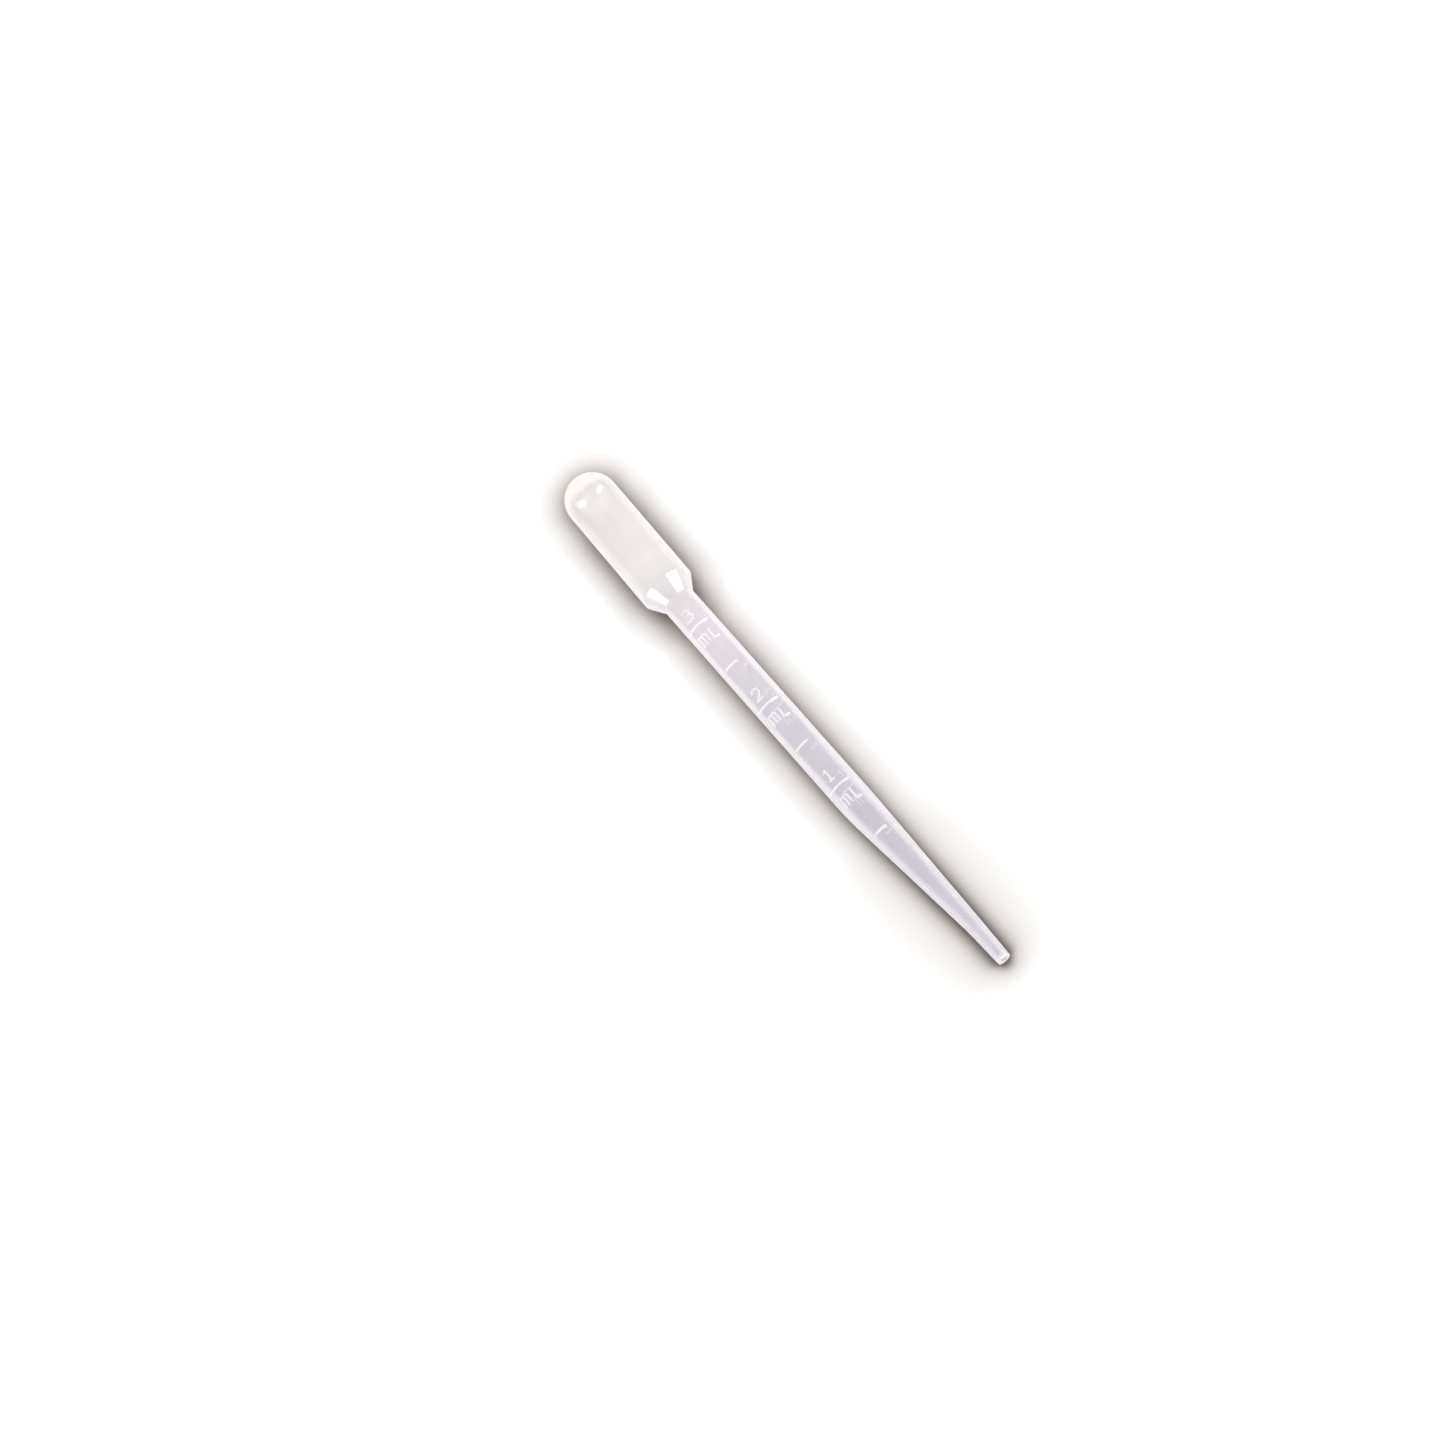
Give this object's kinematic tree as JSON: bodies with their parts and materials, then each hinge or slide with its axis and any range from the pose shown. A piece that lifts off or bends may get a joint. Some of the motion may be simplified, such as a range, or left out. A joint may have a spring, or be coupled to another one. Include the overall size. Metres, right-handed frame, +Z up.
{
  "type": "plastic dropper pipette",
  "caption": "One-piece plastic dropper pipette: a domed squeeze bulb, a straight stem with a raised millilitre scale, and a long taper to a narrow open tip.",
  "frame": {"origin": "on the surface the pipette lies on, under the middle of the box that holds it", "axes": "+X along the pipette from the bulb's dome towards the tip, +Z up out of the surface, with the scale on top; the stem's axis falls two degrees towards the tip"},
  "size_m": [0.156, 0.0136, 0.014],
  "materials": {
    "moulding": "milky translucent polyethylene, smooth as moulded"
  },
  "bodies": {
    "root": {"pipette": "moulding"}
  },
  "joints": []
}
